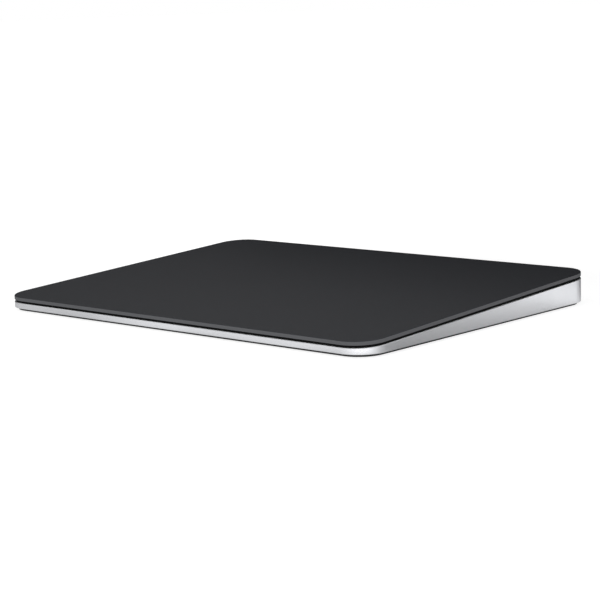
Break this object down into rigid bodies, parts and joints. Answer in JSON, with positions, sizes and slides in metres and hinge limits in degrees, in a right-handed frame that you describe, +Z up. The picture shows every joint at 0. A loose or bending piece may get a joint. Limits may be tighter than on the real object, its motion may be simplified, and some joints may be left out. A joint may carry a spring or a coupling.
{
  "type": "trackpad",
  "caption": "Wedge-shaped desktop trackpad: a dark matt glass touch plate floating over a thin aluminium tray on rubber feet.",
  "frame": {"origin": "on the desk, under the middle of the footprint", "axes": "+X to the user's right along the long edge, +Y from the user towards the thick rear edge, +Z up from the desk"},
  "size_m": [0.16, 0.115, 0.0109],
  "materials": {
    "cover_glass": "fine matt, etched",
    "bond_film": "dark film",
    "board_black": "solder mask, satin",
    "chip_package": "moulded epoxy, matt",
    "shield_steel": "tinned, satin",
    "socket_plastic": "moulded, matt",
    "stiffener_steel": "rolled sheet, satin",
    "gel_rubber": "soft gel, matt",
    "gauge_film": "amber film",
    "screw_steel": "machined, satin",
    "spring_steel": "cold rolled, satin",
    "core_iron": "pressed, matt",
    "coil_copper": "enamelled wire",
    "lead_film": "flexible film, satin",
    "cell_pouch": "laminated pouch, matt",
    "tab_nickel": "plain strip",
    "antenna_ceramic": "fired, matt",
    "case_aluminium": "bead-blasted and anodised",
    "seal_foam": "foam, matt",
    "base_plastic": "moulded, fine texture",
    "port_steel": "drawn, satin",
    "port_plastic": "moulded, matt",
    "contact_gold": "plated",
    "knob_aluminium": "bead-blasted and anodised",
    "flag_green": "printed film",
    "switch_plastic": "moulded, matt",
    "switch_shell": "pressed tin plate",
    "foot_rubber": "moulded, matt"
  },
  "bodies": {
    "case": {"actuator_bracket": "spring_steel", "actuator_coils": "coil_copper", "actuator_cores": "core_iron", "actuator_lead": "lead_film", "actuator_screws": "screw_steel", "antenna": "antenna_ceramic", "base_adhesive": "bond_film", "base_panel": "base_plastic", "battery_adhesive": "bond_film", "battery_cell": "cell_pouch", "battery_guard_board": "board_black", "battery_guard_chips": "chip_package", "battery_lead": "lead_film", "battery_tabs": "tab_nickel", "beam_screws": "screw_steel", "deck_lead": "lead_film", "enclosure": "case_aluminium", "foot_front_left": "foot_rubber", "foot_front_right": "foot_rubber", "foot_rear_left": "foot_rubber", "foot_rear_right": "foot_rubber", "force_beam_front_left": "spring_steel", "force_beam_front_right": "spring_steel", "force_beam_rear_left": "spring_steel", "force_beam_rear_right": "spring_steel", "lead_sockets": "socket_plastic", "port_board": "board_black", "port_board_chips": "chip_package", "port_board_screws": "screw_steel", "port_clamp": "port_steel", "radio_shield": "shield_steel", "rim_seal": "seal_foam", "slide_switch": "switch_shell", "strain_gauges": "gauge_film", "switch_guide": "switch_plastic", "usb_contacts": "contact_gold", "usb_shell": "port_steel", "usb_tongue": "port_plastic"},
    "suspension": {"gel_pads": "gel_rubber"},
    "touch_deck": {"touch_glass": "cover_glass", "glass_adhesive": "bond_film", "touch_board": "board_black", "touch_board_chips": "chip_package", "touch_board_shield": "shield_steel", "touch_socket": "socket_plastic", "stiffener_adhesive": "bond_film", "stiffener_plate": "stiffener_steel", "attraction_plate": "stiffener_steel"},
    "power_slider": {"switch_knob": "knob_aluminium", "switch_flag": "flag_green", "switch_lever": "switch_plastic"}
  },
  "joints": [
    {"name": "surface_press", "type": "slide", "parent": "case", "child": "suspension", "axis": [0, 0.0521, -0.9986], "range_m": [0, 0.0001], "stiffness_N_per_m": 8000, "springref_m": -0.0003, "deforming": ["force_beam_front_left", "force_beam_front_right", "force_beam_rear_left", "force_beam_rear_right", "deck_lead"]},
    {"name": "haptic_shift", "type": "slide", "parent": "suspension", "child": "touch_deck", "axis": [1, 0, 0], "range_m": [-0.0001, 0.0001], "stiffness_N_per_m": 10000},
    {"name": "power_switch", "type": "slide", "parent": "case", "child": "power_slider", "axis": [1, 0, 0], "range_m": [0, 0.0025]}
  ]
}
